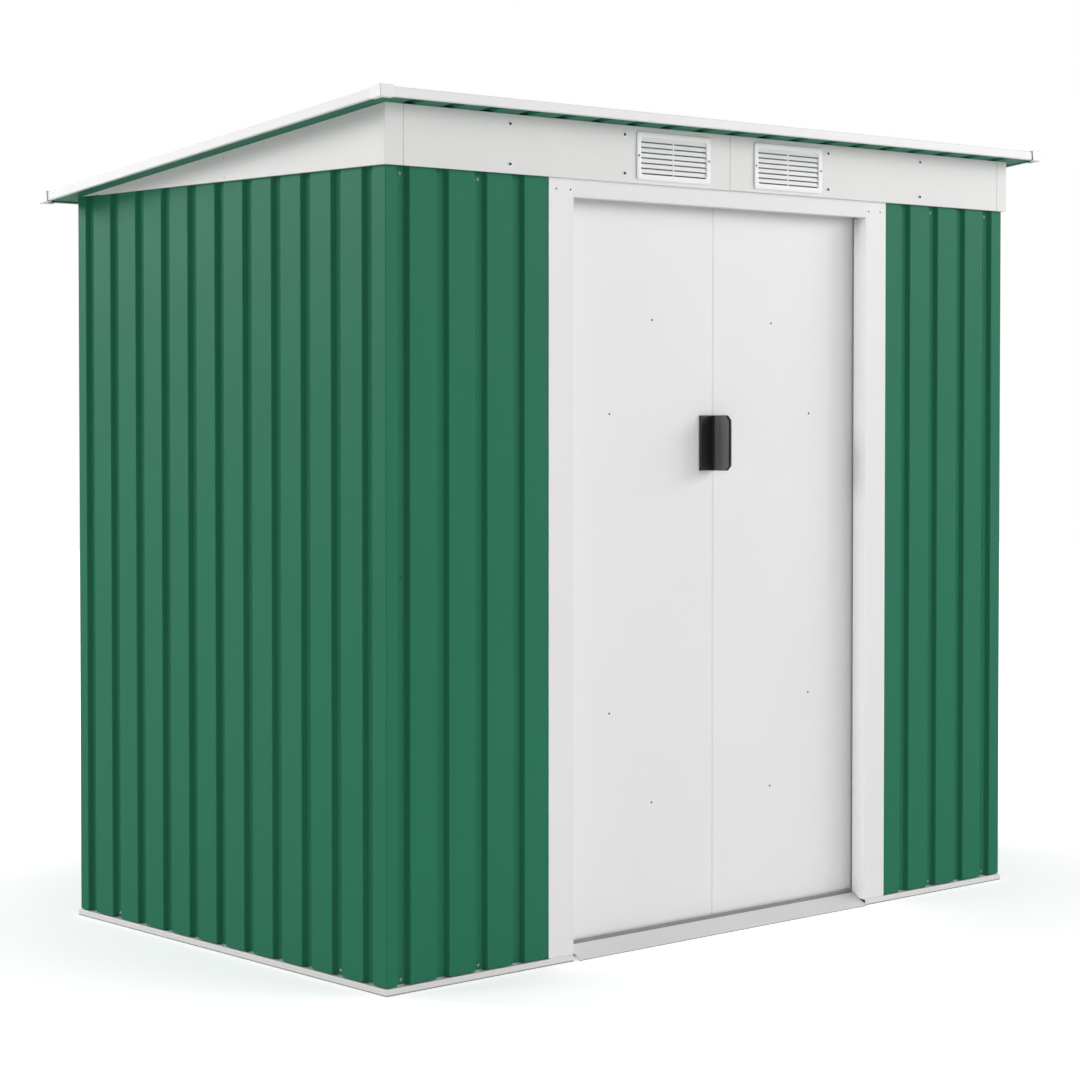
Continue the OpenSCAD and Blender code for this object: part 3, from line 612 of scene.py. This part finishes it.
def makeVent(side):
    size = ventSizes
    lowest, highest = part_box("vent_" + side)
    middle = (lowest + highest) / 2
    width, height = (highest.x - lowest.x) / mm, (highest.z - lowest.z) / mm
    openWidth, openHeight = width - 2 * size["rim"], height - 2 * size["rim"]
    bm = bmesh.new()
    edges = roundedLoop(bm, width, height, size["frameCorner"], 6)
    edges += roundedLoop(bm, openWidth, openHeight, size["openCorner"], 6)
    ring = bmesh.ops.bridge_loops(bm, edges=edges)["faces"]
    lifted = bmesh.ops.extrude_face_region(bm, geom=ring)["geom"]
    top = [item for item in lifted if isinstance(item, bmesh.types.BMVert)]
    bmesh.ops.translate(bm, verts=top, vec=(0, 0, size["proud"] * mm))
    topSet = set(top)
    rims = [edge for edge in bm.edges if edge.verts[0] in topSet and edge.verts[1] in topSet
            and edge.calc_face_angle(0) > radians(60)]
    bmesh.ops.bevel(bm, geom=rims, offset=size["edge"] * mm, offset_type="OFFSET", affect="EDGES",
                    segments=3, profile=0.5, material=-1)
    step = openHeight / size["blades"]
    slope = atan2(size["bladeFront"] - size["bladeBack"], step * size["bladeShare"])
    bladeLength = step * size["bladeShare"] / cos(slope)
    bladeWidth, webHeight = openWidth - 2 * size["bladeGap"], step * size["webShare"]
    for index in range(size["blades"]):
        blade = bmesh.new()
        made = bmesh.ops.create_grid(blade, x_segments=1, y_segments=1, size=0.5)
        bmesh.ops.translate(blade, verts=made["verts"], vec=(0, -0.5, 0))
        bmesh.ops.scale(blade, verts=made["verts"], vec=(bladeWidth * mm, bladeLength * mm, 1))
        upper = [vert for vert in made["verts"] if vert.co.y > -bladeLength * mm / 2]
        bmesh.ops.bevel(blade, geom=upper, offset=size["bladeCorner"] * mm, offset_type="OFFSET",
                        affect="VERTICES", segments=5, profile=0.5, material=-1)
        bmesh.ops.solidify(blade, geom=blade.faces[:], thickness=size["bladeThick"] * mm)
        bmesh.ops.rotate(blade, verts=blade.verts[:], cent=(0, 0, 0),
                         matrix=Matrix.Rotation(-slope, 3, "X"))
        topEdge = openHeight / 2 - index * step
        bmesh.ops.translate(blade, verts=blade.verts[:], vec=(0, topEdge * mm, size["bladeBack"] * mm))
        loose = bpy.data.meshes.new("blade")
        blade.to_mesh(loose)
        blade.free()
        bm.from_mesh(loose)
        bpy.data.meshes.remove(loose)
        slab(bm, openWidth, webHeight, topEdge - webHeight / 2, size["web"])
    slab(bm, size["mullion"], openHeight, 0, size["mullionDepths"])
    moulded, lap = set(bm.faces), 2 * size["screenLap"]
    slab(bm, openWidth + lap, openHeight + lap, 0, size["screen"])
    for face in bm.faces:
        face.material_index = 0 if face in moulded else 1
    bmesh.ops.transform(bm, verts=bm.verts[:], matrix=Matrix.Translation((middle.x, fasciaY, middle.z))
                        @ Matrix.Rotation(radians(90), 4, "X"))
    bmesh.ops.recalc_face_normals(bm, faces=bm.faces[:])
    finishPiece("vent_grille_" + side, bm, [ventPlastic, screenMesh], "root",
                ("vent_" + side,))
    reach = (width / 2 - size["screwInset"]) * mm
    screwSet("vent_screws_" + side, "plasticScrew",
             [(middle.x + hand * reach, lowest.y, middle.z) for hand in (-1, 1)], forward, darkBoltAndRecessShade)


for side in ("left", "right"):
    makeVent(side)
print("vents made")

# Handle screws, two on each flange
handleScrews = {"across": 0.0225, "fromEnds": 0.014, "flange": 0.0028}
for side, hand in (("left", -1), ("right", 1)):
    lowest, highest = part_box("door_handle_" + side)
    heights = (lowest.z + handleScrews["fromEnds"], highest.z - handleScrews["fromEnds"])
    screwSet("handle_screws_" + side, "plasticScrew",
             [(hand * handleScrews["across"], doorY - handleScrews["flange"], z) for z in heights],
             forward, darkBoltAndRecessShade, side + "_door")

# A lamp from the left for the jambs and the handles alone. On the walls it would flatten the grooves.
doorwayLamp = {"turn": -84, "rise": 8, "size": 2.4, "power": 1500}
doorwayPieces = bpy.data.collections.new("doorwayPieces")
for name in ("door_jamb_left_folded", "door_jamb_right_folded", "door_handle_left_folded",
             "door_handle_right_folded"):
    doorwayPieces.objects.link(bpy.data.objects[name])
placeLamp("doorwayFill", doorwayLamp, doorwayPieces)

# Floor: a plain pale sheet, wider than any view
floorHalf = 14
floorMesh = bmesh.new()
bmesh.ops.create_grid(floorMesh, x_segments=1, y_segments=1, size=floorHalf)
floorPaint, floorTree, floorPlace, floorShader = startMaterial("paleFloor", {
    "Base Color": linear("#F4F4F4"), "Roughness": 0.9, "Metallic": 0.0, "Emission Color": (1, 1, 1, 1)})
# Far from the shed the floor fades into the backdrop, and only the view of it does, not its light
floorReach = addNode(floorTree, "ShaderNodeVectorMath", {"operation": "LENGTH"}, {0: floorPlace})
fade = addNode(floorTree, "ShaderNodeMapRange", {"interpolation_type": "SMOOTHSTEP"}, {
    "Value": floorReach.outputs["Value"], "From Min": studio["fadeFrom"], "From Max": studio["fadeTo"],
    "To Min": studio["nearView"], "To Max": studio["farView"]})
floorRay = addNode(floorTree, "ShaderNodeLightPath")
floorGlow = addNode(floorTree, "ShaderNodeMapRange", inputs={
    "Value": floorRay.outputs["Is Camera Ray"], "To Min": studio["floorGlow"],
    "To Max": fade.outputs["Result"]})
floorTree.links.new(floorGlow.outputs["Result"], floorShader.inputs["Emission Strength"])
mesh = bpy.data.meshes.new("floor")
floorMesh.to_mesh(mesh)
floorMesh.free()
mesh.materials.append(floorPaint)
floor = bpy.data.objects.new("floor", mesh)
bpy.context.scene.collection.objects.link(floor)
